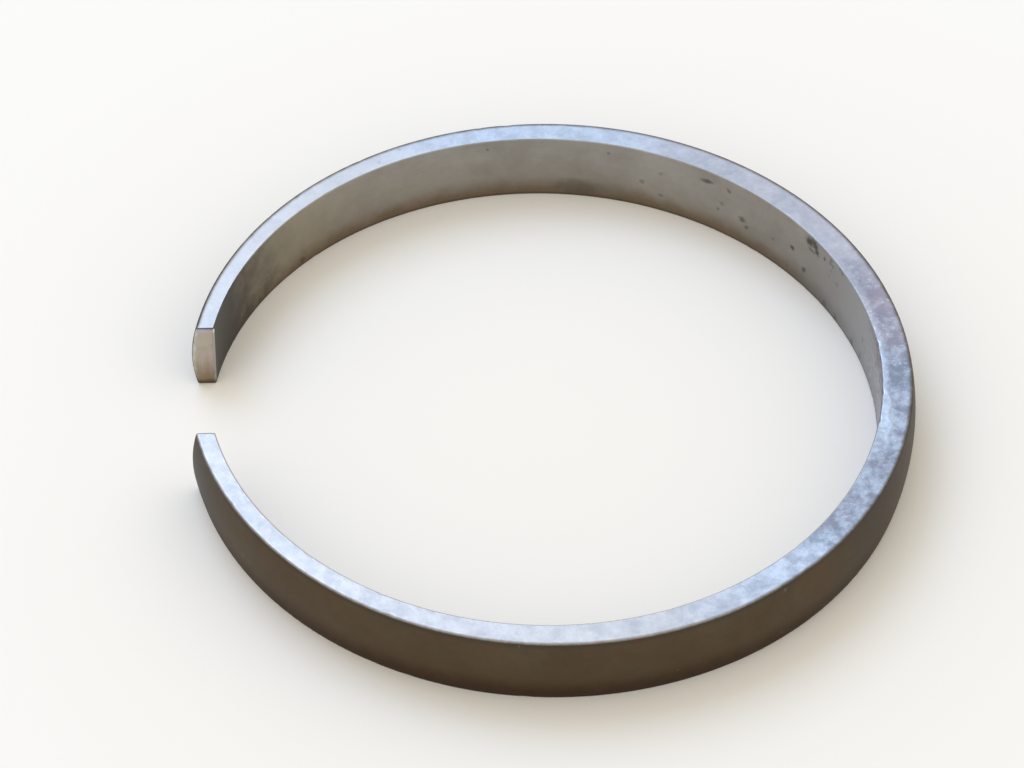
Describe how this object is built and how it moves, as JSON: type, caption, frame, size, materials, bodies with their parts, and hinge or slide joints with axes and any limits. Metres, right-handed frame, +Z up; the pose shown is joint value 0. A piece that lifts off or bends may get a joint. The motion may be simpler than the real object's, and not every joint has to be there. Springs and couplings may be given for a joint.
{
  "type": "synchronizer ring",
  "caption": "Split steel synchronizer ring with a crowned outer friction face, an off-centre bore and two flat parallel ends, sprung inside a gearbox sleeve.",
  "frame": {"origin": "on the axis of the crowned friction face, on the plane of the lower side face", "axes": "+Z up along the ring's axis, -X through the middle of the split, +Y completes a right-handed frame"},
  "size_m": [0.0755, 0.0762, 0.0082],
  "materials": {
    "ring_steel": "ground side faces, turned bore and a dark matte spray coat on the crowned friction face"
  },
  "bodies": {
    "root": {"synchronizer_ring": "ring_steel"}
  },
  "joints": []
}
